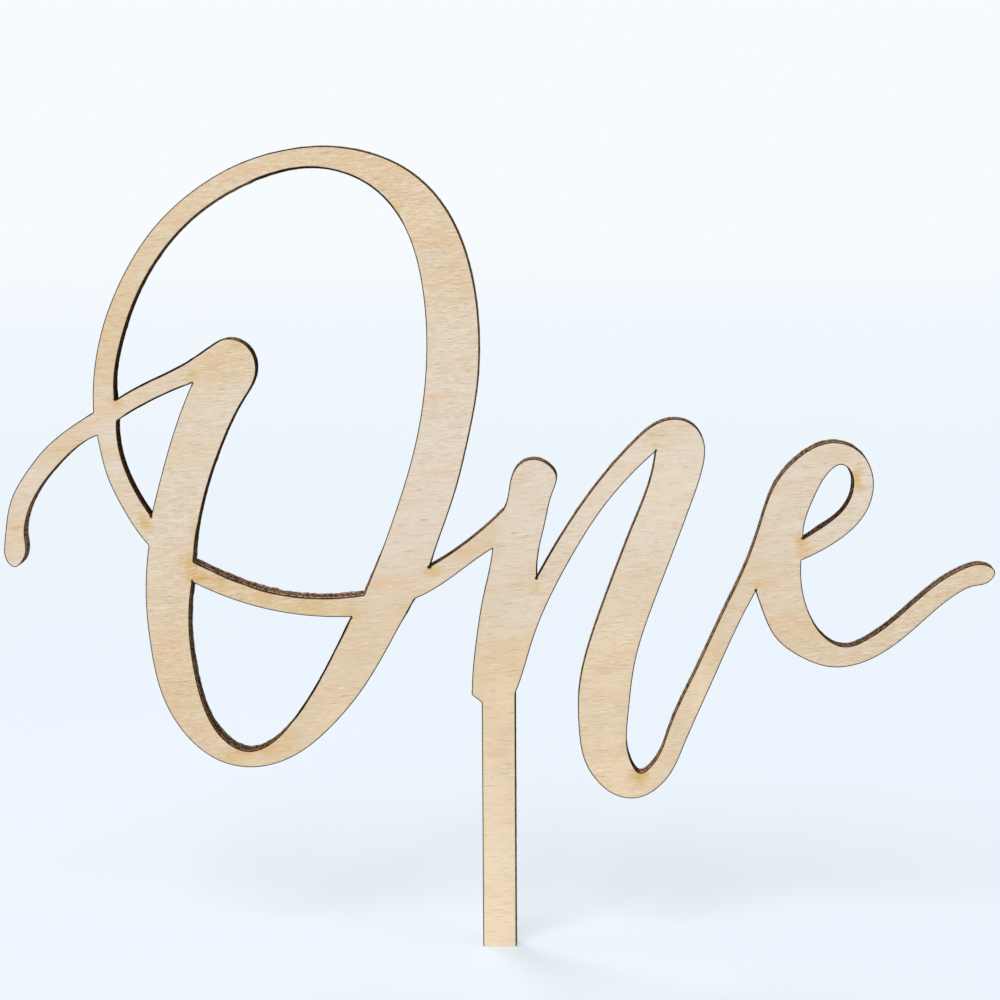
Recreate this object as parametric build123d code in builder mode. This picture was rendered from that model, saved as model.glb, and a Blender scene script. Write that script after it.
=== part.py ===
"""Plywood cake topper: the number word One, cut in brush script, on a flat stake.

Millimetres, +Z up. The word reads along +X for someone who looks along +Y, so the
front of the sheet faces -Y. The origin lies on the stake's centre line, halfway
through the sheet, at the insertion line: the level the stake is pushed in to.

The sheet is three birch veneers bonded by two glue lines, and one laser cut runs
through all five layers, so every layer has the same outline.
"""
import os

from build123d import *

os.makedirs("parts", exist_ok=True)

# Lettering
LETTERING_WIDTH = 153.0  # tail of the O to the exit stroke of the e
LETTERING_HEIGHT = 101.1  # lowest edge of the n to the top of the O
LETTERING_CLEARANCE = 24.1  # insertion line to the lowest edge of the n

# Stake
STAKE_WIDTH = 5.1
STAKE_BURIED = 50.0  # insertion line to the end of the stake
STAKE_POINT = 9.0  # length of the sharpened end
STAKE_TIP_WIDTH = 1.2  # width left at the blunted tip
STAKE_AXIS_SHARE = 0.501  # stake's centre line, across the lettering's width

# Lay-up of the sheet
FACE_VENEER = 0.7
GLUE_LINE = 0.1
CORE_VENEER = 1.4
LAYERS = (
    ("front_face_veneer", FACE_VENEER),
    ("front_glue_line", GLUE_LINE),
    ("core_veneer", CORE_VENEER),
    ("rear_glue_line", GLUE_LINE),
    ("rear_face_veneer", FACE_VENEER),
)
SHEET_THICKNESS = sum(thickness for _, thickness in LAYERS)

# Outline points are shares of the lettering's width and height, from its lower left.
# Each list is one smooth stretch. It starts at the corner where the list before it ends.

# Outer edge, clockwise from the corner above the O's tail
O_OUTER_OVER_SHARES = (
    (0.096, 0.663), (0.107, 0.736), (0.128, 0.809), (0.158, 0.877), (0.198, 0.933),
    (0.245, 0.974), (0.297, 0.996), (0.331, 1.000), (0.367, 0.993), (0.410, 0.967),
    (0.444, 0.920), (0.466, 0.859), (0.478, 0.792), (0.483, 0.708), (0.480, 0.629),
    (0.471, 0.558), (0.458, 0.479), (0.440, 0.400), (0.431, 0.360),
)
JOIN_UPPER_SHARES = ((0.471, 0.401), (0.507, 0.449))
N_STEM_TOP_SHARES = (
    (0.512, 0.473), (0.516, 0.502), (0.524, 0.520), (0.538, 0.527), (0.551, 0.520),
    (0.560, 0.502), (0.556, 0.476), (0.549, 0.433), (0.542, 0.387), (0.540, 0.343),
)
N_ARCH_TO_E_LOOP_SHARES = (
    (0.572, 0.426), (0.609, 0.504), (0.640, 0.556), (0.662, 0.582), (0.680, 0.588),
    (0.697, 0.579), (0.708, 0.552), (0.707, 0.516), (0.696, 0.462), (0.678, 0.387),
    (0.657, 0.302), (0.639, 0.211), (0.632, 0.122), (0.635, 0.059), (0.645, 0.039),
    (0.658, 0.053), (0.674, 0.107), (0.700, 0.196), (0.726, 0.283), (0.750, 0.362),
    (0.765, 0.427), (0.778, 0.483), (0.802, 0.528), (0.836, 0.552), (0.861, 0.541),
    (0.877, 0.500), (0.872, 0.451), (0.845, 0.405), (0.806, 0.372),
)
E_BOWL_AND_EXIT_SHARES = (
    (0.807, 0.333), (0.816, 0.285), (0.832, 0.251), (0.851, 0.238), (0.873, 0.249),
    (0.910, 0.292), (0.946, 0.339), (0.972, 0.361), (0.990, 0.365), (1.000, 0.355),
    (0.993, 0.338), (0.980, 0.333), (0.964, 0.322), (0.931, 0.281), (0.896, 0.236),
    (0.867, 0.213), (0.838, 0.207), (0.808, 0.222), (0.781, 0.254), (0.769, 0.291),
    (0.761, 0.325),
)
N_SECOND_LEG_SHARES = (
    (0.739, 0.258), (0.714, 0.171), (0.689, 0.083), (0.676, 0.040), (0.663, 0.017),
    (0.648, 0.003), (0.632, 0.000), (0.616, 0.008), (0.602, 0.026), (0.591, 0.051),
    (0.583, 0.109), (0.583, 0.171), (0.593, 0.241), (0.614, 0.333), (0.636, 0.421),
    (0.653, 0.488), (0.660, 0.540),
)
N_UPSTROKE_UNDER_SHARES = (
    (0.641, 0.513), (0.602, 0.443), (0.578, 0.385), (0.556, 0.323), (0.537, 0.255),
    (0.525, 0.195),
)
N_FOOT_RIGHT_HEIGHT_SHARE = 0.164  # where the n's stem runs into the stake's right side
N_FOOT_STEP_HEIGHT_SHARE = 0.150  # where the foot's underside meets the stake's left side
N_FOOT_LEFT_SHARES = (0.474, 0.162)
N_STEM_LEFT_SHARES = ((0.476, 0.211), (0.480, 0.260), (0.485, 0.307), (0.492, 0.354), (0.496, 0.391))
JOIN_LOWER_SHARES = ((0.466, 0.359), (0.441, 0.332), (0.416, 0.312))
O_OUTER_UNDER_SHARES = (
    (0.392, 0.246), (0.360, 0.166), (0.328, 0.109), (0.291, 0.065), (0.250, 0.047),
    (0.216, 0.056), (0.180, 0.099), (0.157, 0.162), (0.147, 0.233), (0.143, 0.305),
    (0.144, 0.355), (0.147, 0.394),
)
O_CROSSING_SHARES = ((0.135, 0.418), (0.118, 0.462), (0.106, 0.504), (0.100, 0.541), (0.097, 0.565))
O_TAIL_SHARES = (
    (0.079, 0.550), (0.055, 0.517), (0.035, 0.479), (0.022, 0.435), (0.020, 0.409),
    (0.021, 0.386), (0.017, 0.370), (0.009, 0.361), (0.002, 0.369), (0.000, 0.399),
    (0.008, 0.465), (0.024, 0.507), (0.044, 0.544), (0.069, 0.575), (0.094, 0.599),
)

# Large gap in the O: its inside edge, the crossbar's top and the inner stem
O_INNER_OVER_SHARES = (
    (0.115, 0.639), (0.121, 0.698), (0.139, 0.775), (0.163, 0.837), (0.194, 0.889),
    (0.233, 0.931), (0.276, 0.959), (0.312, 0.969), (0.349, 0.961), (0.377, 0.940),
    (0.399, 0.907), (0.414, 0.867), (0.426, 0.801), (0.431, 0.716), (0.428, 0.629),
    (0.416, 0.533), (0.397, 0.441), (0.380, 0.371), (0.365, 0.317),
)
CROSSBAR_TOP_SHARES = ((0.319, 0.312), (0.270, 0.321), (0.226, 0.344), (0.192, 0.369))
O_INNER_STEM_SHARES = (
    (0.197, 0.426), (0.209, 0.496), (0.226, 0.563), (0.244, 0.616), (0.258, 0.657),
    (0.257, 0.683), (0.246, 0.705), (0.229, 0.711), (0.211, 0.698), (0.187, 0.674),
    (0.151, 0.647), (0.116, 0.618),
)

# Small three-cornered gap left of the O's inner stem
SIDE_GAP_TOP_SHARES = ((0.156, 0.620), (0.195, 0.645))
SIDE_GAP_RIGHT_SHARES = ((0.179, 0.586), (0.164, 0.516), (0.150, 0.438))
SIDE_GAP_LEFT_SHARES = ((0.131, 0.487), (0.119, 0.540), (0.117, 0.587))

# Gap in the O below the crossbar
CROSSBAR_UNDER_SHARES = ((0.221, 0.317), (0.260, 0.298), (0.306, 0.286), (0.353, 0.284))
O_LOWER_BOWL_SHARES = (
    (0.325, 0.203), (0.291, 0.120), (0.266, 0.082), (0.245, 0.071), (0.220, 0.089),
    (0.201, 0.135), (0.190, 0.202), (0.186, 0.274), (0.190, 0.338),
)

# Eye of the e, a loop with one corner
E_EYE_SHARES = (
    (0.810, 0.435), (0.817, 0.464), (0.825, 0.490), (0.834, 0.509), (0.846, 0.519),
    (0.854, 0.511), (0.858, 0.488), (0.851, 0.456), (0.834, 0.430), (0.808, 0.404),
)


def across(x_share):
    """Distance right of the stake's centre line."""
    return (x_share - STAKE_AXIS_SHARE) * LETTERING_WIDTH


def height(z_share):
    """Height above the insertion line."""
    return LETTERING_CLEARANCE + z_share * LETTERING_HEIGHT


def placed(shares):
    """Points on the sheet for a list of shares."""
    return [(across(x_share), height(z_share)) for x_share, z_share in shares]


def trace(stretches):
    """Draw one closed outline, a spline for each stretch or a line to a single point."""
    corner = stretches[-1][-1]
    for points in stretches:
        if len(points) == 1:
            Line(corner, points[0])
        else:
            Spline(corner, *points)
        corner = points[-1]


stake_side = STAKE_WIDTH / 2
foot_right = (stake_side, height(N_FOOT_RIGHT_HEIGHT_SHARE))
foot_step = (-stake_side, height(N_FOOT_STEP_HEIGHT_SHARE))

outer_edge = [
    placed(O_OUTER_OVER_SHARES),
    placed(JOIN_UPPER_SHARES),
    placed(N_STEM_TOP_SHARES),
    placed(N_ARCH_TO_E_LOOP_SHARES),
    placed(E_BOWL_AND_EXIT_SHARES),
    placed(N_SECOND_LEG_SHARES),
    placed(N_UPSTROKE_UNDER_SHARES) + [foot_right],
    [foot_step],
    placed([N_FOOT_LEFT_SHARES]),
    placed(N_STEM_LEFT_SHARES),
    placed(JOIN_LOWER_SHARES),
    placed(O_OUTER_UNDER_SHARES),
    placed(O_CROSSING_SHARES),
    placed(O_TAIL_SHARES),
]
gaps = [
    [placed(O_INNER_OVER_SHARES), placed(CROSSBAR_TOP_SHARES), placed(O_INNER_STEM_SHARES)],
    [placed(SIDE_GAP_TOP_SHARES), placed(SIDE_GAP_RIGHT_SHARES), placed(SIDE_GAP_LEFT_SHARES)],
    [placed(CROSSBAR_UNDER_SHARES), placed(O_LOWER_BOWL_SHARES)],
    [placed(E_EYE_SHARES)],
]

# The stake's top end lies inside the n's foot, one stake width above the step
stake_top = foot_step[1] + STAKE_WIDTH
stake_shoulder = STAKE_POINT - STAKE_BURIED
stake_outline = [
    (stake_side, stake_top),
    (stake_side, stake_shoulder),
    (STAKE_TIP_WIDTH / 2, -STAKE_BURIED),
    (-STAKE_TIP_WIDTH / 2, -STAKE_BURIED),
    (-stake_side, stake_shoulder),
    (-stake_side, stake_top),
]

# One cut outline for the whole sheet
with BuildSketch() as cut_outline:
    with BuildLine():
        trace(outer_edge)
    make_face()
    for gap in gaps:
        with BuildLine():
            trace(gap)
        make_face(mode=Mode.SUBTRACT)
    with BuildLine():
        Polyline(*stake_outline, close=True)
    make_face()

# The layers, from the front face to the rear face
layer_front = SHEET_THICKNESS / 2
for layer_name, thickness in LAYERS:
    with BuildPart() as layer:
        with BuildSketch(Plane.XZ.offset(layer_front)):
            add(cut_outline.sketch)
        extrude(amount=-thickness)
    layer.part.label = layer_name
    export_step(layer.part, f"parts/{layer_name}.step")
    layer_front -= thickness
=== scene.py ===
"""Plywood cake topper, the number word One on a flat stake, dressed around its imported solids.

Metres, +Z up. The front of the sheet faces -Y, and the stake goes into the floor at z = 0.
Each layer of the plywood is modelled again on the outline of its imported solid, with what
a laser leaves behind: a charred arris, leaning walls, a torn rear edge and smoke stains.
"""
import math

import bmesh
import bpy
from mathutils import Matrix, Vector, noise


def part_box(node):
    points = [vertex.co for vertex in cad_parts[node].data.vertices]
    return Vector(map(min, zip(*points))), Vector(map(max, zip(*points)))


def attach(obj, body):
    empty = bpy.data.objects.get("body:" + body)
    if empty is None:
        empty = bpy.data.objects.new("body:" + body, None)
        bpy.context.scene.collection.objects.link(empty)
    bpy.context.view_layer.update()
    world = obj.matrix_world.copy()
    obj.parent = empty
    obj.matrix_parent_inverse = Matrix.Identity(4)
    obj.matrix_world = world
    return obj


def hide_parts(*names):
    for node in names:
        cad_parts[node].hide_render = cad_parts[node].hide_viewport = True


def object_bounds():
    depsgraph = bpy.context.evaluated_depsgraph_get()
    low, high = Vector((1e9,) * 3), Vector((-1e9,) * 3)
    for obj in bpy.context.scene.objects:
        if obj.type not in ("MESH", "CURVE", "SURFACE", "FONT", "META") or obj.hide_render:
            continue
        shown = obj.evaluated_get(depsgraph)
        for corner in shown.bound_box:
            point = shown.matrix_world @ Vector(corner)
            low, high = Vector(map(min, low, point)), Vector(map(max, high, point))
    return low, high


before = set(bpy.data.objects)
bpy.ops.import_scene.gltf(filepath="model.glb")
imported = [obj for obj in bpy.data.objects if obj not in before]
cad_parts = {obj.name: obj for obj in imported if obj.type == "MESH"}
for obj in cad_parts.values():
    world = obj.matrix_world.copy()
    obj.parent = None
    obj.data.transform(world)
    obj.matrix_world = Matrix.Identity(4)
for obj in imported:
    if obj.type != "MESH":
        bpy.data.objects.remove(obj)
cad_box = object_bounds()

MM = 0.001

# Cut outline
MERGE_GAP = 0.001 * MM
CORNER_TURN = math.radians(10)  # a sharper turn than this is a corner of the lettering
CORNER_ROUND = 0.18 * MM  # how far from a corner the beam starts to round it
CORNER_PULL = 0.6  # how far the rounding reaches towards the corner
CURVE_STEPS = 5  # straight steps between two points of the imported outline
SHORTEST_STEP = 0.05 * MM
LONGEST_STEP = 0.3 * MM
SQUARE_ON = 0.99  # a face whose normal goes along Y by more than this lies flat in the sheet
SIDE_ON = 0.3  # a face whose normal goes along Y by less than this is a cut wall
SMOOTH_TURN = math.radians(35)  # faces that meet at less than this are shaded as one

# Cut walls, from the front of the sheet to its rear
CHAR_BUILD = 0.07 * MM  # char that stands out all along the cut
KERF_LEAN = 0.02 * MM  # the cut narrows as it goes through, so the wood is wider at the rear
WALL_GRAIN = 0.4 * MM
WALL_ROUGHNESS = 0.03 * MM
TEAR_LENGTH = 1.7 * MM
TEAR_REACH = 0.12 * MM
TEAR_LEVEL = 0.22  # a fibre is torn where the noise rises above this
TEAR_POWER = 4  # torn fibres stand out near the rear only
MOST_SQUEEZE = 0.4  # most that a tight notch or corner may shorten a step of the outline

# Burrs, where the rear of the cut stands out further, unevenly:
# across, height, half length, half height and reach, in millimetres
BURR_LENGTH = 1.0 * MM
BURR_UNEVENNESS = 0.6
BURRS = (
    (-30.0, 57.0, 28.0, 8.0, 0.24), (-41.0, 31.5, 14.0, 6.0, 0.15), (-46.0, 40.0, 12.0, 18.0, 0.12),
    (50.0, 78.0, 14.0, 9.0, 0.12), (-34.0, 120.0, 20.0, 10.0, 0.11), (49.6, 66.9, 2.6, 1.6, 0.14),
)

# Arris, the charred edge between a face and the cut wall
ARRIS_WIDTH = 0.15 * MM
ARRIS_DROP = 0.10 * MM
SCORCH_REACH = 0.2 * MM  # browning of the face beside the arris

# Edges that the cut burnt darker: across, height, half length, half height, in millimetres, and strength
BURNT_EDGES = (
    (-56.5, 86.3, 3.5, 3.0, 1.2), (-53.9, 87.7, 3.5, 3.0, 1.2), (-50.7, 89.5, 3.5, 3.0, 1.2),
    (-47.6, 91.4, 3.5, 3.0, 1.2), (-44.5, 94.2, 3.0, 2.6, 1.2), (-35.1, 120.6, 3.2, 2.4, 0.9),
    (-32.0, 121.2, 3.2, 2.2, 1.1), (-28.5, 121.6, 3.2, 2.2, 1.2), (-25.2, 121.3, 3.2, 2.2, 1.2),
    (-22.0, 120.3, 3.0, 2.2, 1.2), (-19.2, 118.8, 2.8, 2.4, 1.2), (-16.9, 116.8, 2.4, 2.4, 1.0),
    (-15.2, 114.6, 2.0, 2.4, 0.7), (-24.6, 49.3, 3.2, 3.6, 1.0), (-26.6, 45.6, 3.2, 3.6, 1.0),
    (-28.8, 41.8, 3.2, 3.6, 1.0), (-30.8, 38.6, 3.2, 3.2, 0.8),
)

# Rims of a face that are burnt dark beside a cleaner wall, listed like the edges
DARK_RIMS = (
    (-46.8, 64.5, 2.0, 3.5, 0.7), (-46.6, 61.2, 4.0, 2.0, 0.8), (-42.0, 58.9, 4.5, 2.0, 0.6),
    (-36.2, 56.7, 4.5, 2.0, 0.55), (-31.0, 55.9, 4.5, 2.0, 0.5), (-26.0, 55.7, 4.5, 2.0, 0.45),
    (-21.6, 56.1, 3.5, 2.0, 0.4),
)

# Marks on the front face: across, height, half length, half height, in millimetres, and strength
PALE_BANDS = ((15.0, 79.0, 170.0, 40.0, 0.95), (-75.0, 61.5, 5.0, 6.0, 0.9))
# Cream patches of paler wood; the long one on the stake is also painted light, brighter towards the bottom
# of the stake
CREAM_PATCHES_AND_PAINTED_LIGHT = (
    (0.0, 0.0, 14.0, 58.0, 0.8), (19.0, 29.0, 12.0, 12.0, 0.5), (14.0, 46.0, 22.0, 16.0, 0.35),
    (26.0, 72.0, 18.0, 14.0, 0.2), (31.5, 40.0, 5.0, 14.0, 0.45),
    (1.0, 40.0, 5.0, 10.0, 0.4), (-24.0, 37.0, 6.0, 6.0, 0.3), (-34.0, 120.0, 10.0, 5.0, 0.2),
    (-12.5, 115.0, 4.0, 4.0, 0.25),
)
FIBROUS_AREAS = (
    (-20.0, 108.0, 62.0, 48.0, 1.35), (-44.0, 58.0, 26.0, 50.0, 0.9), (60.0, 57.0, 30.0, 26.0, 1.1),
    (17.0, 53.0, 21.0, 43.0, 0.6),
)
ROSY_STREAKS = (
    (-9.0, 110.7, 6.5, 1.6, 0.9), (-41.5, 92.4, 6.0, 1.3, 0.8), (-18.0, 58.0, 8.0, 1.6, 0.8),
    (47.0, 62.9, 3.5, 1.4, 0.9), (41.5, 58.0, 3.5, 1.6, 0.8), (44.0, 52.2, 6.0, 1.3, 0.8),
    (16.5, 44.6, 5.0, 1.4, 0.7), (-0.2, 31.2, 3.0, 1.6, 0.7), (-47.0, 34.6, 5.0, 2.2, 0.7),
    (-37.0, 121.8, 5.5, 2.2, 0.8), (-22.5, 123.0, 6.0, 1.6, 0.8), (-49.2, 114.2, 2.6, 2.6, 0.8),
    (-55.0, 109.0, 2.5, 2.5, 0.6), (-15.0, 121.8, 3.5, 2.0, 0.7), (-28.5, 45.5, 5.0, 1.3, 0.6),
    (70.0, 60.0, 5.0, 1.6, 0.5), (-51.5, 47.5, 4.0, 3.5, 0.5),
)
SMOKE_STAINS = (
    (21.8, 27.6, 2.8, 2.6, 0.95), (-47.8, 61.2, 2.4, 2.6, 0.85), (-47.0, 58.8, 3.2, 2.4, 0.9),
    (55.2, 74.3, 1.5, 3.2, 0.95), (-41.0, 31.0, 5.0, 1.8, 0.7), (-36.4, 31.8, 4.0, 2.0, 0.65),
    (-33.5, 34.0, 3.0, 4.5, 0.42), (-54.6, 67.6, 2.2, 2.4, 0.9), (46.9, 64.5, 1.8, 2.2, 0.9),
    (-43.0, 58.6, 6.0, 4.5, 0.62), (-36.5, 56.0, 7.0, 4.5, 0.62), (-29.0, 54.4, 9.0, 4.5, 0.6),
    (-23.5, 53.6, 5.0, 4.0, 0.5), (-10.0, 60.0, 2.2, 1.8, 0.7), (-15.5, 116.0, 1.8, 2.4, 0.75),
    (-58.8, 86.0, 1.7, 1.7, 0.7), (40.0, 57.8, 1.9, 1.4, 0.45), (-39.8, 95.2, 2.6, 1.6, 0.45),
    (-1.4, 64.2, 1.4, 1.3, 0.5), (-59.2, 98.4, 1.6, 3.4, 0.42), (-46.9, 90.6, 2.2, 1.8, 0.8),
    (24.3, 79.5, 1.6, 1.4, 0.55), (5.9, 57.5, 1.2, 1.7, 0.6),
    (7.0, 59.3, 0.9, 0.9, 0.5), (-52.0, 42.0, 12.0, 24.0, 0.18),
    (-60.0, 97.0, 8.0, 14.0, 0.3), (-45.6, 59.0, 2.6, 2.2, 0.9), (-65.0, 79.5, 5.0, 5.0, 0.35),
    (-4.0, 63.5, 6.0, 4.5, 0.35), (-1.5, 66.5, 3.5, 4.0, 0.35), (-43.5, 91.2, 9.0, 4.5, 0.35),
    (24.8, 81.0, 5.0, 3.0, 0.32), (51.0, 78.0, 6.0, 2.5, 0.15), (73.0, 57.0, 4.0, 3.0, 0.35),
    (2.5, 74.0, 4.0, 3.0, 0.25), (-12.4, 55.5, 4.0, 3.0, 0.3), (-46.2, 66.0, 2.5, 5.0, 0.6),
    (-53.5, 86.0, 4.0, 3.0, 0.25), (-75.0, 66.5, 3.0, 1.0, 0.65),
)
BURNT_CORNERS = (
    (-10.6, 60.6, 0.65, 0.5, 1.0), (5.95, 58.9, 0.45, 0.5, 1.0), (-53.75, 68.5, 0.4, 0.45, 1.0),
    (-47.55, 58.35, 0.4, 0.4, 0.9), (46.95, 65.15, 0.5, 0.45, 1.0),
    (39.8, 57.05, 0.4, 0.45, 0.9), (-58.95, 86.75, 0.4, 0.45, 1.0), (24.35, 78.75, 0.35, 0.4, 0.8),
)

# Soot on the cut walls, and walls where the painted shade on the +X side is lifted, placed like the marks
# on the face
SOOTY_WALLS = (
    (61.0, 52.0, 22.0, 17.0, 0.55), (51.5, 70.5, 12.0, 12.0, 0.95), (-38.0, 34.0, 12.0, 9.0, 0.6),
    (-6.0, 63.0, 10.0, 6.0, 0.65), (9.0, 61.5, 7.0, 7.0, 0.7),
)
SIDE_SHADE_LIFTED_WALLS = (
    (-6.0, 98.0, 25.0, 58.0, 1.0), (2.0, 10.0, 8.0, 34.0, 1.0), (-46.5, 45.0, 9.0, 26.0, 0.6),
    (-46.3, 61.5, 3.0, 4.5, 0.7), (-73.5, 66.0, 8.0, 14.0, 0.85),
)

# Birch grain: length and height of each kind of figure, in millimetres
GRAIN_SLOPE = math.radians(5)  # the grain rises a little along the word
BAND_SIZE = (24, 6)
STREAK_SIZE = (16, 2.4)
FIBRE_SIZE = (1.1, 0.13)  # a little coarser than real fibres
VESSEL_SIZE = (2.4, 0.15)
FIBRE_RELIEF = 0.02 * MM  # how far the fibres stand out
BAND_CONTRAST = 1.7  # how strongly the noise of the bands counts beside their marks

# Waves of the grain: their size, and how far they push a place, in millimetres
GRAIN_BEND = (38, (0.0, 0.0, 2.2))
FIBRE_CURL = (1.2, (0.0, 0.0, 0.45))
FRAYED_RIM = (1.6, (3.0, 0.0, 0.8))
NOISE_MIDDLE = (0.5, 0.5, 0.5)  # the noise that pushes nowhere

# Levels at which a colour starts to show and at which it shows most
ALL_LEVELS = (0.0, 1.0)
BAND_LEVELS = (0.7, 1.65)
STREAK_LEVELS = (0.54, 0.74)
DARK_FIBRE_LEVELS = (0.51, 0.70)
LIGHT_FIBRE_LEVELS = (0.49, 0.30)
DARK_VESSEL_LEVELS = (0.62, 0.74)
LIGHT_VESSEL_LEVELS = (0.38, 0.26)
CORNER_BURN_LEVELS = (0.2, 0.6)
EDGE_BURN_LEVELS = (0.1, 0.5)
FLECK_LEVELS = (0.38, 0.62)
SHADED_SIDE_LEVELS = (0.2, 0.9)  # of how much a wall faces +X, for the painted shade on that side

# Shares that a colour shows at most
WHOLE = 1.0
STREAK_MOST = 0.65
FIBRE_MOST = 0.16
FIBROUS_AREA_MOST = 0.52
VESSEL_MOST = 0.5
# Painted shade on the walls that face +X, where it is lifted and elsewhere, and how far soot and painted
# shade darken the flecks
LIFTED_SIDE_SHADE_MOST = 0.1
SIDE_SHADE_MOST = 0.95
FLECK_SOOT_AND_SHADE_MOST = 0.88

# Char of the cut, with depths from the middle of the sheet
FLECKED_DEPTH = 1.42 * MM  # no fleck shows further out than this
MOST_FLECKED_DEPTH = 1.2 * MM  # flecks show most nearer the middle than this
CHAR_RELIEF = 0.05 * MM  # how far the flecks stand out
SHADED_SIDE = (1.0, 0.0, 0.0)  # walls that face this way are darkened with painted shade

# Colours of the birch and of what the laser left on it
STRAW = "#DFC49E"
PALE_STRAW = "#E3D2BD"
# cream, made paler so that it also serves as painted light on the lower stake
CREAM_AND_LIGHT = "#FAE2C1"
ROSY = "#E3BE9A"
SMOKED = "#D7B16A"
BROWNED = "#8A6540"
DARK_FIBRE = "#C4A178"
LIGHT_FIBRE = "#F3E7D5"
DARK_VESSEL = "#B8946A"
LIGHT_VESSEL = "#F8ECDA"
BURNT = "#1C0F07"
# soot, and the painted shade on the walls that face +X
SOOT_AND_SHADE = "#200F05"

# Camera: the photograph's viewing angle, for a square picture
CAMERA_PLACE = Vector((15.857, -415.5, 128.9)) * MM
CAMERA_TILT = math.radians(7.950)  # down
CAMERA_TURN = math.radians(2.120)  # to the left, about the camera's own upright
SENSOR = 36.0  # millimetres
LENS = 97.754  # millimetres


def linear(colour):
    """Linear colour for an sRGB hex value."""
    shares = [int(colour[i:i + 2], 16) / 255 for i in (1, 3, 5)]
    return [s / 12.92 if s <= 0.04045 else ((s + 0.055) / 1.055) ** 2.4 for s in shares] + [1.0]


def add(tree, kind, settings, inputs):
    """Add a node with its settings, set or link its inputs, and give back its outputs."""
    node = tree.nodes.new(kind)
    for name, value in settings.items():
        setattr(node, name, value)
    for name, value in inputs.items():
        if isinstance(value, bpy.types.NodeSocket):
            tree.links.new(value, node.inputs[name])
        else:
            node.inputs[name].default_value = value
    return node.outputs


# Sockets of a Mix node that mixes colours
SHARE, FIRST, SECOND, MIXED = 0, 6, 7, 2
COLOURS = {"data_type": "RGBA"}
SMOOTH = {"interpolation_type": "SMOOTHSTEP"}


def start_material(name):
    """A new node material with no nodes in it yet, and its node tree."""
    material = bpy.data.materials.new(name)
    material.use_nodes = True
    tree = material.node_tree
    tree.nodes.clear()
    return material, tree


def marks(tree, place, spots):
    """How strong a list of soft marks is at each place: 0 outside them all."""
    strongest = 0.0
    for across, height, half_length, half_height, strength in spots:
        from_middle = add(tree, "ShaderNodeMapping", {"vector_type": "TEXTURE"}, {
            "Vector": place, "Location": (across * MM, 0.0, height * MM),
            "Rotation": (0.0, -GRAIN_SLOPE, 0.0),
            "Scale": (half_length * MM, 1.0, half_height * MM)})["Vector"]
        distance = add(tree, "ShaderNodeVectorMath", {"operation": "LENGTH"}, {0: from_middle})["Value"]
        spot = add(tree, "ShaderNodeMapRange", SMOOTH, {
            "Value": distance, "To Min": strength, "To Max": 0.0})["Result"]
        strongest = add(tree, "ShaderNodeMath", {"operation": "MAXIMUM"}, {0: strongest, 1: spot})["Value"]
    return strongest


def grain(tree, place, length, height, detail):
    """Noise drawn out along the grain, for patches, streaks or fibres of about this size."""
    stretched = add(tree, "ShaderNodeMapping", {"vector_type": "TEXTURE"}, {
        "Vector": place, "Rotation": (0.0, -GRAIN_SLOPE, 0.0),
        "Scale": (length * MM, length * MM, height * MM)})["Vector"]
    return add(tree, "ShaderNodeTexNoise", {}, {
        "Vector": stretched, "Scale": 1.0, "Detail": detail, "Roughness": 0.6})["Fac"]


def blend(tree, value, levels, most, tone, colour):
    """Mix a tone towards a colour, up to some share, as a value goes between two levels."""
    start, full = levels
    share = add(tree, "ShaderNodeMapRange", {}, {
        "Value": value, "From Min": start, "From Max": full, "To Max": most})["Result"]
    return add(tree, "ShaderNodeMix", COLOURS, {SHARE: share, FIRST: tone, SECOND: linear(colour)})[MIXED]


def ragged(tree, place, size, reach):
    """Places pushed to and fro, so that what is drawn on them has a ragged edge."""
    push = add(tree, "ShaderNodeTexNoise", {}, {
        "Vector": place, "Scale": 1 / (size * MM), "Detail": 2.0})["Color"]
    push = add(tree, "ShaderNodeVectorMath", {"operation": "SUBTRACT"}, {
        0: push, 1: NOISE_MIDDLE})["Vector"]
    return add(tree, "ShaderNodeVectorMath", {"operation": "MULTIPLY_ADD"}, {
        0: push, 1: [r * MM for r in reach], 2: place})["Vector"]


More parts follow.
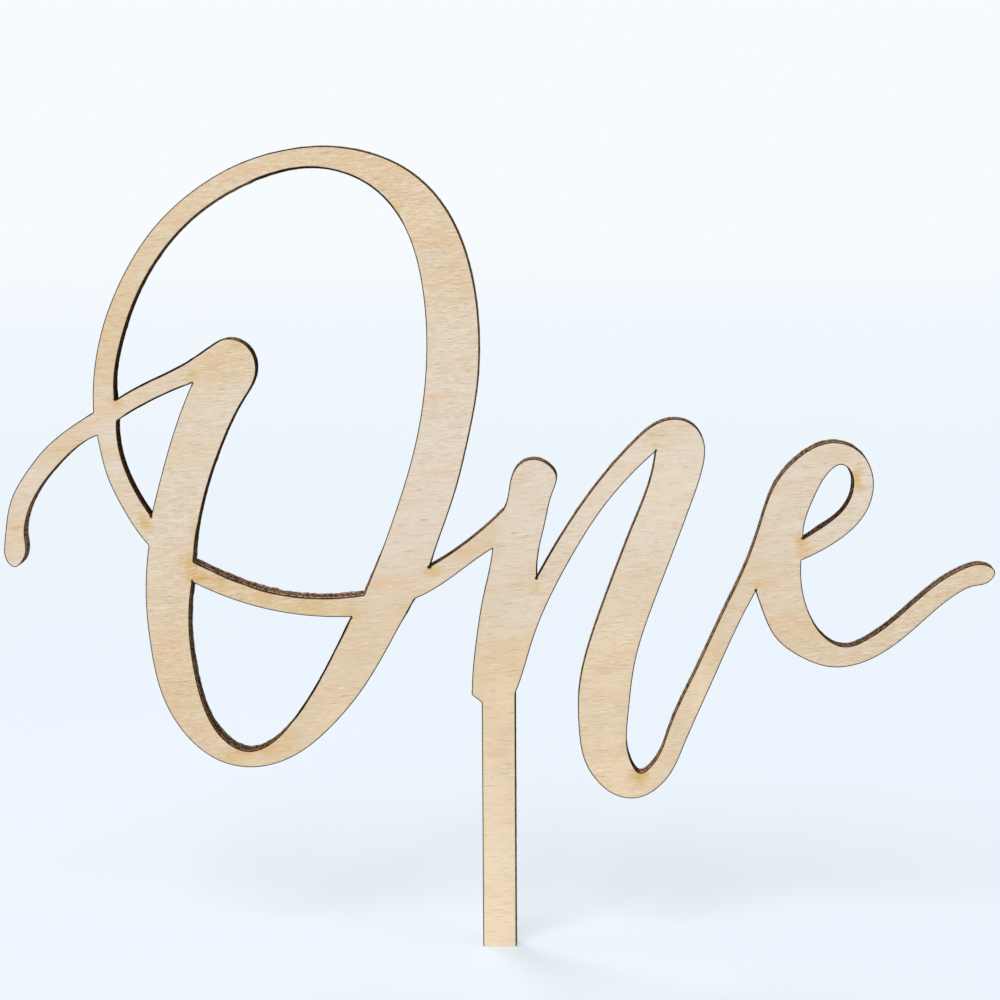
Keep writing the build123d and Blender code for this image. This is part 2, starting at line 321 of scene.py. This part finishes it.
def sanded_birch(name, pale, cream_and_light, rosy, smoke, browning):
    """Rotary-cut birch, sanded: cream to rosy straw in soft bands, with fine short dashes of fibre."""
    material, tree = start_material(name)
    place = add(tree, "ShaderNodeTexCoord", {}, {})["Object"]
    bent = ragged(tree, place, *GRAIN_BEND)
    frayed = ragged(tree, place, *FRAYED_RIM)
    curly = ragged(tree, bent, *FIBRE_CURL)

    # Broad straw and pale bands
    band = grain(tree, bent, *BAND_SIZE, detail=2.0)
    band = add(tree, "ShaderNodeMath", {"operation": "MULTIPLY_ADD"}, {
        0: band, 1: BAND_CONTRAST, 2: marks(tree, bent, pale)})["Value"]
    tone = blend(tree, band, BAND_LEVELS, WHOLE, linear(STRAW), PALE_STRAW)
    # Cream patches of paler wood, with painted light on the lower stake
    tone = blend(tree, marks(tree, frayed, cream_and_light), ALL_LEVELS, WHOLE, tone, CREAM_AND_LIGHT)

    # Rosy streaks
    streaks = grain(tree, bent, *STREAK_SIZE, detail=2.0)
    tone = blend(tree, streaks, STREAK_LEVELS, STREAK_MOST, tone, ROSY)
    tone = blend(tree, marks(tree, frayed, rosy), ALL_LEVELS, WHOLE, tone, ROSY)

    # Smoke that the cut left near tight corners, and browning beside the arris
    tone = blend(tree, marks(tree, frayed, smoke), ALL_LEVELS, WHOLE, tone, SMOKED)
    browned = add(tree, "ShaderNodeAttribute", {"attribute_name": "scorch"}, {})["Fac"]
    tone = blend(tree, browned, ALL_LEVELS, browning, tone, BROWNED)

    # Fibres: dark and light dashes of a millimetre or so, stronger in some areas than in others
    fibres = grain(tree, curly, *FIBRE_SIZE, detail=2.0)
    fibre_share = add(tree, "ShaderNodeMapRange", {}, {
        "Value": marks(tree, place, FIBROUS_AREAS),
        "To Min": FIBRE_MOST, "To Max": FIBROUS_AREA_MOST})["Result"]
    tone = blend(tree, fibres, DARK_FIBRE_LEVELS, fibre_share, tone, DARK_FIBRE)
    tone = blend(tree, fibres, LIGHT_FIBRE_LEVELS, fibre_share, tone, LIGHT_FIBRE)

    # Vessels: sparse dark and light dashes, longer than the fibres
    vessels = grain(tree, curly, *VESSEL_SIZE, detail=1.0)
    tone = blend(tree, vessels, DARK_VESSEL_LEVELS, VESSEL_MOST, tone, DARK_VESSEL)
    tone = blend(tree, vessels, LIGHT_VESSEL_LEVELS, VESSEL_MOST, tone, LIGHT_VESSEL)

    # Burns in the corners, where the beam slowed down to turn, and along some edges
    tone = blend(tree, marks(tree, place, BURNT_CORNERS), CORNER_BURN_LEVELS, WHOLE, tone, BURNT)
    burnt = add(tree, "ShaderNodeAttribute", {"attribute_name": "burn"}, {})["Fac"]
    tone = blend(tree, burnt, EDGE_BURN_LEVELS, WHOLE, tone, BURNT)

    raised = add(tree, "ShaderNodeBump", {}, {
        "Strength": 0.25, "Distance": FIBRE_RELIEF, "Height": fibres})["Normal"]
    shader = add(tree, "ShaderNodeBsdfPrincipled", {}, {
        "Base Color": tone, "Roughness": 0.65, "IOR": 1.5, "Specular IOR Level": 0.35,
        "Normal": raised})["BSDF"]
    add(tree, "ShaderNodeOutputMaterial", {}, {"Surface": shader})
    return material


def charred_and_side_shaded_wood(name, fleck, char, brown, brown_most):
    """A cut edge charred by laser: sooty dark brown, with paler flecks of some size in millimetres, and
    painted shade on the walls that face +X.
    """
    material, tree = start_material(name)
    sides = add(tree, "ShaderNodeTexCoord", {}, {})
    fleck_place = add(tree, "ShaderNodeMapping", {"vector_type": "TEXTURE"}, {
        "Vector": sides["Object"], "Scale": [size * MM for size in fleck]})["Vector"]
    flecks = add(tree, "ShaderNodeTexNoise", {}, {
        "Vector": fleck_place, "Scale": 1.0, "Detail": 3.0, "Roughness": 0.65})["Fac"]

    # Painted shade: walls that face +X are darkened towards the soot colour, less on the listed walls
    # where it is lifted; soot marks and burns darken the walls too
    toward_shaded_side = add(tree, "ShaderNodeVectorMath", {"operation": "DOT_PRODUCT"}, {
        0: sides["Normal"], 1: SHADED_SIDE})["Value"]
    most_side_shade = add(tree, "ShaderNodeMapRange", {}, {
        "Value": marks(tree, sides["Object"], SIDE_SHADE_LIFTED_WALLS),
        "To Min": SIDE_SHADE_MOST, "To Max": LIFTED_SIDE_SHADE_MOST})["Result"]
    drift_start, drift_full = SHADED_SIDE_LEVELS
    side_shade = add(tree, "ShaderNodeMapRange", {}, {
        "Value": toward_shaded_side, "From Min": drift_start, "From Max": drift_full,
        "To Max": most_side_shade})["Result"]
    soot_and_side_shade = add(tree, "ShaderNodeMath", {"operation": "MAXIMUM"}, {
        0: side_shade, 1: marks(tree, sides["Object"], SOOTY_WALLS)})["Value"]
    burnt = add(tree, "ShaderNodeAttribute", {"attribute_name": "burn"}, {})["Fac"]
    soot_and_side_shade = add(tree, "ShaderNodeMath", {"operation": "MAXIMUM"}, {0: soot_and_side_shade, 1: burnt})["Value"]
    dark = blend(tree, soot_and_side_shade, ALL_LEVELS, WHOLE, linear(char), SOOT_AND_SHADE)
    light = blend(tree, soot_and_side_shade, ALL_LEVELS, FLECK_SOOT_AND_SHADE_MOST, linear(brown), SOOT_AND_SHADE)

    # The beam burns both faces of the sheet most, so flecks are fewest beside them
    depth = add(tree, "ShaderNodeSeparateXYZ", {}, {"Vector": sides["Object"]})["Y"]
    depth = add(tree, "ShaderNodeMath", {"operation": "ABSOLUTE"}, {0: depth})["Value"]
    clean = add(tree, "ShaderNodeMapRange", {}, {
        "Value": depth, "From Min": FLECKED_DEPTH, "From Max": MOST_FLECKED_DEPTH,
        "To Max": brown_most})["Result"]
    fleck_start, fleck_full = FLECK_LEVELS
    light_share = add(tree, "ShaderNodeMapRange", {}, {
        "Value": flecks, "From Min": fleck_start, "From Max": fleck_full, "To Max": clean})["Result"]
    tone = add(tree, "ShaderNodeMix", COLOURS, {SHARE: light_share, FIRST: dark, SECOND: light})[MIXED]

    raised = add(tree, "ShaderNodeBump", {}, {
        "Strength": 0.5, "Distance": CHAR_RELIEF, "Height": flecks})["Normal"]
    shader = add(tree, "ShaderNodeBsdfPrincipled", {}, {
        "Base Color": tone, "Roughness": 1.0, "IOR": 1.45, "Specular IOR Level": 0.0,
        "Normal": raised})["BSDF"]
    add(tree, "ShaderNodeOutputMaterial", {}, {"Surface": shader})
    return material


def take_up(piece):
    """Make a piece the only selected object and the active one."""
    bpy.ops.object.select_all(action="DESELECT")
    piece.select_set(True)
    bpy.context.view_layer.objects.active = piece


def place_new(name, data):
    """Link a new object for some mesh or curve data, and take it up."""
    piece = bpy.data.objects.new(name, data)
    bpy.context.collection.objects.link(piece)
    take_up(piece)
    return piece


def select_faces(piece, wanted):
    """In edit mode, select just the faces that are wanted."""
    bpy.ops.mesh.select_mode(type="FACE")
    bpy.ops.mesh.select_all(action="DESELECT")
    mesh = bmesh.from_edit_mesh(piece.data)
    for face in mesh.faces:
        face.select_set(wanted(face))
    bmesh.update_edit_mesh(piece.data)


def cut_loops():
    """Points of each loop of the sheet's cut outline, as (across, height)."""
    sheet = place_new("cut_loops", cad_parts["front_face_veneer"].data.copy())
    bpy.ops.object.mode_set(mode="EDIT")
    bpy.ops.mesh.select_all(action="SELECT")
    bpy.ops.mesh.remove_doubles(threshold=MERGE_GAP)
    select_faces(sheet, lambda face: face.normal.y < -SQUARE_ON)
    bpy.ops.mesh.region_to_loop()
    bpy.ops.mesh.select_all(action="INVERT")
    bpy.ops.mesh.delete(type="EDGE")
    bpy.ops.object.mode_set(mode="OBJECT")
    bpy.ops.object.convert(target="CURVE")
    line = bpy.context.object
    loops = [[Vector((p.co.x, p.co.z)) for p in spline.points] for spline in line.data.splines]
    bpy.data.objects.remove(line)
    return loops


def cut_curve(loops):
    """The cut outline as a flat curve, smooth along its strokes and rounded at its corners."""
    curve = bpy.data.curves.new("cut_outline", "CURVE")
    curve.dimensions = "2D"
    curve.resolution_u = CURVE_STEPS
    for loop in loops:
        knots = []
        for i, point in enumerate(loop):
            back = loop[i - 1] - point
            ahead = loop[(i + 1) % len(loop)] - point
            if math.pi - back.angle(ahead) < CORNER_TURN:
                knots.append((point, None, None))
            else:
                first = point + back.normalized() * CORNER_ROUND
                last = point + ahead.normalized() * CORNER_ROUND
                knots.append((first, None, first.lerp(point, CORNER_PULL)))
                knots.append((last, last.lerp(point, CORNER_PULL), None))
        spline = curve.splines.new("BEZIER")
        spline.use_cyclic_u = True
        spline.bezier_points.add(len(knots) - 1)
        for knot, (point, from_corner, to_corner) in zip(spline.bezier_points, knots):
            knot.co = point.to_3d()
            if from_corner is not None:
                knot.handle_left_type = "FREE"
                knot.handle_left = from_corner.to_3d()
                knot.handle_right_type = "VECTOR"
            elif to_corner is not None:
                knot.handle_left_type = "VECTOR"
                knot.handle_right_type = "FREE"
                knot.handle_right = to_corner.to_3d()
            else:
                knot.handle_left_type = "AUTO"
                knot.handle_right_type = "AUTO"
    return curve


def cut_sheet(curve):
    """Flat mesh inside the cut outline, facing -Y, with short steps along the outline."""
    place_new("cut_sheet", curve)
    bpy.ops.object.convert(target="MESH")
    sheet = bpy.context.object
    sheet.rotation_euler.x = math.pi / 2
    bpy.ops.object.transform_apply(location=True, rotation=True, scale=True)
    bpy.ops.object.mode_set(mode="EDIT")
    bpy.ops.mesh.select_mode(type="EDGE")
    bpy.ops.mesh.select_all(action="SELECT")
    bpy.ops.mesh.remove_doubles(threshold=SHORTEST_STEP)
    long_steps = True
    while long_steps:
        bpy.ops.mesh.select_all(action="DESELECT")
        mesh = bmesh.from_edit_mesh(sheet.data)
        long_steps = [step for step in mesh.edges if step.calc_length() > LONGEST_STEP]
        for step in long_steps:
            step.select_set(True)
        bmesh.update_edit_mesh(sheet.data)
        bpy.ops.mesh.subdivide(number_cuts=1)
    bpy.ops.mesh.select_all(action="SELECT")
    bpy.ops.mesh.fill(use_beauty=True)
    bpy.ops.object.mode_set(mode="OBJECT")
    return sheet


def nearness(place, across, height, half_length, half_height):
    """1 in the middle of a spot, falling to 0 at its rim."""
    distance = math.hypot((place.x / MM - across) / half_length, (place.z / MM - height) / half_height)
    return max(0.0, 1.0 - distance ** 2)


def burn_at(place, burns):
    """How dark a list of burns is at one place of the cut, up to 1."""
    return min(1.0, max(strength * nearness(place, *spot) for *spot, strength in burns))


def wall_stand(place):
    """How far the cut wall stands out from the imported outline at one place."""
    front, rear = cad_box
    depth = (place.y - front.y) / (rear.y - front.y)
    rough = WALL_ROUGHNESS * noise.noise(place / WALL_GRAIN)
    torn = TEAR_REACH * max(0.0, noise.noise(place / TEAR_LENGTH) - TEAR_LEVEL)
    uneven = 1.0 + BURR_UNEVENNESS * noise.noise(place / BURR_LENGTH)
    burr = 0.0
    for *spot, reach in BURRS:
        burr += reach * MM * nearness(place, *spot) * uneven
    return CHAR_BUILD + depth * (KERF_LEAN + rough + burr) + depth ** TEAR_POWER * torn


def spread(mesh, moves):
    """Move points of an outline, less far where its steps would close up in a notch or corner."""
    for step in mesh.edges:
        start, end = step.verts
        if start in moves and end in moves:
            along = end.co - start.co
            squeeze = (moves[start] - moves[end]).dot(along) / along.length_squared
            if squeeze > MOST_SQUEEZE:
                moves[start] *= MOST_SQUEEZE / squeeze
                moves[end] *= MOST_SQUEEZE / squeeze
    for point, move in moves.items():
        point.co += move


def start_layer(name, node, sheet, rows):
    """Draw the flat sheet back to one layer's thickness, with burnt walls, and stay in edit mode."""
    low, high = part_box(node)
    row = (high.y - low.y) / rows
    piece = place_new(name, sheet.data.copy())
    bpy.ops.object.mode_set(mode="EDIT")
    bpy.ops.mesh.select_mode(type="FACE")
    bpy.ops.mesh.select_all(action="SELECT")
    bpy.ops.transform.translate(value=(0, low.y, 0))
    for _ in range(rows):
        bpy.ops.mesh.extrude_region_move(TRANSFORM_OT_translate={"value": (0, row, 0)})
    bpy.ops.mesh.select_all(action="SELECT")
    bpy.ops.mesh.normals_make_consistent(inside=False)
    mesh = bmesh.from_edit_mesh(piece.data)
    outward = mesh.verts.layers.float_vector.new("outward")
    burn = mesh.verts.layers.float.new("burn")
    for point in mesh.verts:
        point[burn] = burn_at(point.co, BURNT_EDGES)
        walls = [face.normal for face in point.link_faces if abs(face.normal.y) < SIDE_ON]
        point[outward] = sum(walls, Vector()).normalized()
    spread(mesh, {point: point[outward] * wall_stand(point.co) for point in mesh.verts})
    bmesh.update_edit_mesh(piece.data)
    return piece


def ease_arris(piece, facing, plane):
    """Build a layer's outer face, which looks along -Y or +Y, with an arris and a browned rim."""
    select_faces(piece, lambda face: all(abs(point.co.y - plane) < MERGE_GAP for point in face.verts))
    bpy.ops.mesh.delete(type="FACE")
    bpy.ops.mesh.select_mode(type="EDGE")
    bpy.ops.mesh.select_non_manifold(
        extend=False, use_wire=False, use_multi_face=False, use_non_contiguous=False, use_verts=False)
    bpy.ops.transform.translate(value=(0, -facing * ARRIS_DROP, 0))
    for width, rise in ((ARRIS_WIDTH, ARRIS_DROP), (SCORCH_REACH, 0.0)):
        bpy.ops.mesh.extrude_region_move(TRANSFORM_OT_translate={"value": (0, facing * rise, 0)})
        mesh = bmesh.from_edit_mesh(piece.data)
        outward = mesh.verts.layers.float_vector["outward"]
        spread(mesh, {point: point[outward] * -width for point in mesh.verts if point.select})
        bmesh.update_edit_mesh(piece.data)
    mesh = bmesh.from_edit_mesh(piece.data)
    scorch = mesh.verts.layers.float.new("scorch")
    burn = mesh.verts.layers.float["burn"]
    for point in mesh.verts:
        point[scorch] = 0.0 if point.select else 1.0
        if abs(point.co.y - plane) < MERGE_GAP:
            point[burn] = max(point[burn], burn_at(point.co, DARK_RIMS))
        point[burn] *= point[scorch]
    bmesh.update_edit_mesh(piece.data)
    bpy.ops.mesh.fill(use_beauty=True)
    bpy.ops.mesh.select_all(action="SELECT")
    bpy.ops.mesh.normals_make_consistent(inside=False)


def coat_faces(piece, index, material, wanted):
    """In edit mode, give a material to just the faces that are wanted."""
    piece.data.materials.append(material)
    piece.active_material_index = index
    select_faces(piece, wanted)
    bpy.ops.object.material_slot_assign()


def finish_layer(piece, node):
    """Shade a layer and fix it to the frame in its node's place."""
    bpy.ops.object.mode_set(mode="OBJECT")
    piece.data.attributes.remove(piece.data.attributes["outward"])
    bpy.ops.object.shade_smooth_by_angle(angle=SMOOTH_TURN)
    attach(piece, "root")
    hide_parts(node)


def outer_veneer(name, node, sheet, rows, facing, face_material):
    """A face veneer, whose outer face looks along -Y or +Y inside a charred arris."""
    low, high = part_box(node)
    piece = start_layer(name, node, sheet, rows)
    ease_arris(piece, facing, low.y if facing < 0 else high.y)
    coat_faces(piece, 0, veneer_wall, lambda face: facing * face.normal.y < SIDE_ON)
    coat_faces(piece, 1, face_material, lambda face: facing * face.normal.y > SQUARE_ON)
    coat_faces(piece, 2, arris_char, lambda face: SIDE_ON <= facing * face.normal.y <= SQUARE_ON)
    finish_layer(piece, node)


# Front face: cream to rosy straw with fine dashes, smoky round the tight corners
front_face = sanded_birch(
    "birch_veneer_rotary_cut_and_sanded",
    PALE_BANDS, CREAM_PATCHES_AND_PAINTED_LIGHT, ROSY_STREAKS, SMOKE_STAINS, browning=0.1)

# Rear face: the same veneer, browner along its rim
rear_face = sanded_birch(
    "birch_veneer_rear_face_smoked",
    PALE_BANDS, (), (), SMOKE_STAINS, browning=0.8)

# Arris: a thin olive-brown line round each face
arris_char = charred_and_side_shaded_wood(
    "birch_arris_charred_by_laser_with_painted_side_shade",
    fleck=(0.8, 0.8, 0.8), char="#43300F", brown="#80602F", brown_most=0.8)

# Veneer edges: dark scorch broken by streaks of light straw
veneer_wall = charred_and_side_shaded_wood(
    "birch_veneer_edge_scorched_by_laser_with_painted_side_shade",
    fleck=(0.45, 0.9, 0.45), char="#3A2410", brown="#E0BE96", brown_most=0.95)

# Core edge: grey-brown streaks that run through the thickness
core_wall = charred_and_side_shaded_wood(
    "birch_core_edge_charred_by_laser_with_painted_side_shade",
    fleck=(0.4, 1.5, 0.4), char="#33211A", brown="#987A68", brown_most=0.9)

# Glue lines: thin lines of nearly black resin between the layers
glue_wall = charred_and_side_shaded_wood(
    "resin_glue_line_charred_by_laser_with_painted_side_shade",
    fleck=(0.5, 0.5, 0.5), char="#170D07", brown="#3A281B", brown_most=0.7)

sheet = cut_sheet(cut_curve(cut_loops()))

# Front veneer
outer_veneer("front_veneer", "front_face_veneer", sheet, rows=2, facing=-1, face_material=front_face)

# Glue lines
for node in ("front_glue_line", "rear_glue_line"):
    piece = start_layer(node.replace("line", "film"), node, sheet, rows=1)
    coat_faces(piece, 0, glue_wall, lambda face: True)
    finish_layer(piece, node)

# Core
piece = start_layer("core_ply", "core_veneer", sheet, rows=4)
coat_faces(piece, 0, core_wall, lambda face: True)
finish_layer(piece, "core_veneer")

# Rear veneer, torn along its rear edge
outer_veneer("rear_veneer", "rear_face_veneer", sheet, rows=3, facing=1, face_material=rear_face)

bpy.data.objects.remove(sheet)

# Floor: pale card that keeps the shadow near the object and fades to the backdrop's own colour
HORIZON = "#F7FBFE"
FOREGROUND = "#EBF4FC"
FLOOR_SIZE = 6.0
SHADOW_WITHIN = 0.06  # distance from the stake up to which the shadow is strongest
PLAIN_BEYOND = 0.30  # distance from which only the plain colour is seen
PLAIN_SHARE_NEAR = 0.55
HAZE_START = 0.2
HAZE_END = 2.5
bpy.ops.object.select_all(action="DESELECT")
bpy.ops.mesh.primitive_plane_add(size=FLOOR_SIZE)
floor = bpy.context.object
floor.name = "studio_floor"

material, tree = start_material("pale_studio_card")
path = add(tree, "ShaderNodeLightPath", {}, {})
place = add(tree, "ShaderNodeTexCoord", {}, {})["Object"]
distance = add(tree, "ShaderNodeVectorMath", {"operation": "LENGTH"}, {0: place})["Value"]
far_share = add(tree, "ShaderNodeMapRange", SMOOTH, {
    "Value": distance, "From Min": SHADOW_WITHIN, "From Max": PLAIN_BEYOND,
    "To Min": PLAIN_SHARE_NEAR})["Result"]
far_share = add(tree, "ShaderNodeMath", {"operation": "MULTIPLY"}, {
    0: far_share, 1: path["Is Camera Ray"]})["Value"]
haze = add(tree, "ShaderNodeMapRange", {}, {
    "Value": distance, "From Min": HAZE_START, "From Max": HAZE_END})["Result"]
far_colour = add(tree, "ShaderNodeMix", COLOURS, {
    SHARE: haze, FIRST: linear(FOREGROUND), SECOND: linear(HORIZON)})[MIXED]
near = add(tree, "ShaderNodeBsdfPrincipled", {}, {
    "Base Color": linear(FOREGROUND), "Roughness": 0.9})["BSDF"]
far = add(tree, "ShaderNodeEmission", {}, {"Color": far_colour, "Strength": 1.0})["Emission"]
shown = add(tree, "ShaderNodeMixShader", {}, {0: far_share, 1: near, 2: far})["Shader"]
add(tree, "ShaderNodeOutputMaterial", {}, {"Surface": shown})
floor.data.materials.append(material)

# World: a pale backdrop for what is seen, a soft even light for the rest
WORLD_COLOUR = "#FFFFFF"
WORLD_LIGHT = 0.18
world = bpy.data.worlds.new("studio")
bpy.context.scene.world = world
world.use_nodes = True
tree = world.node_tree
tree.nodes.clear()
path = add(tree, "ShaderNodeLightPath", {}, {})
seen = add(tree, "ShaderNodeMath", {"operation": "MAXIMUM"}, {
    0: path["Is Camera Ray"], 1: path["Is Glossy Ray"]})["Value"]
seen = add(tree, "ShaderNodeMath", {"operation": "MAXIMUM"}, {
    0: seen, 1: path["Is Transmission Ray"]})["Value"]
light = add(tree, "ShaderNodeBackground", {}, {
    "Color": linear(WORLD_COLOUR), "Strength": WORLD_LIGHT})["Background"]
backdrop = add(tree, "ShaderNodeBackground", {}, {
    "Color": linear(HORIZON), "Strength": 1.0})["Background"]
shown = add(tree, "ShaderNodeMixShader", {}, {0: seen, 1: light, 2: backdrop})["Shader"]
add(tree, "ShaderNodeOutputWorld", {}, {"Surface": shown})

# Lamps: square soft boxes that look at the middle of the lettering
LAMP_AIM = Vector((0, 0, 0.07))
# Name, place and size in metres, and power in watts
SOFTBOXES = (
    ("key_softbox", (-0.60, -1.65, 2.00), 1.35, 44.0),
    ("fill_softbox", (1.50, -1.00, 0.90), 1.0, 7.7),
    ("rear_softbox", (-1.00, 1.40, 1.10), 1.1, 26.0),
)
for name, place, size, power in SOFTBOXES:
    lamp = bpy.data.lights.new(name, "AREA")
    lamp.size = size
    lamp.energy = power
    holder = bpy.data.objects.new(name, lamp)
    bpy.context.collection.objects.link(holder)
    holder.location = place
    aim = LAMP_AIM - Vector(place)
    holder.rotation_euler = aim.to_track_quat("-Z", "Y").to_euler()

# Camera
camera_data = bpy.data.cameras.new("camera")
camera_data.sensor_width = SENSOR
camera_data.lens = LENS
camera = bpy.data.objects.new("camera", camera_data)
bpy.context.collection.objects.link(camera)
camera.matrix_world = (
    Matrix.Translation(CAMERA_PLACE)
    @ Matrix.Rotation(math.pi / 2 - CAMERA_TILT, 4, "X")
    @ Matrix.Rotation(CAMERA_TURN, 4, "Y")
)
bpy.context.scene.camera = camera
bpy.context.scene.view_settings.view_transform = "Standard"
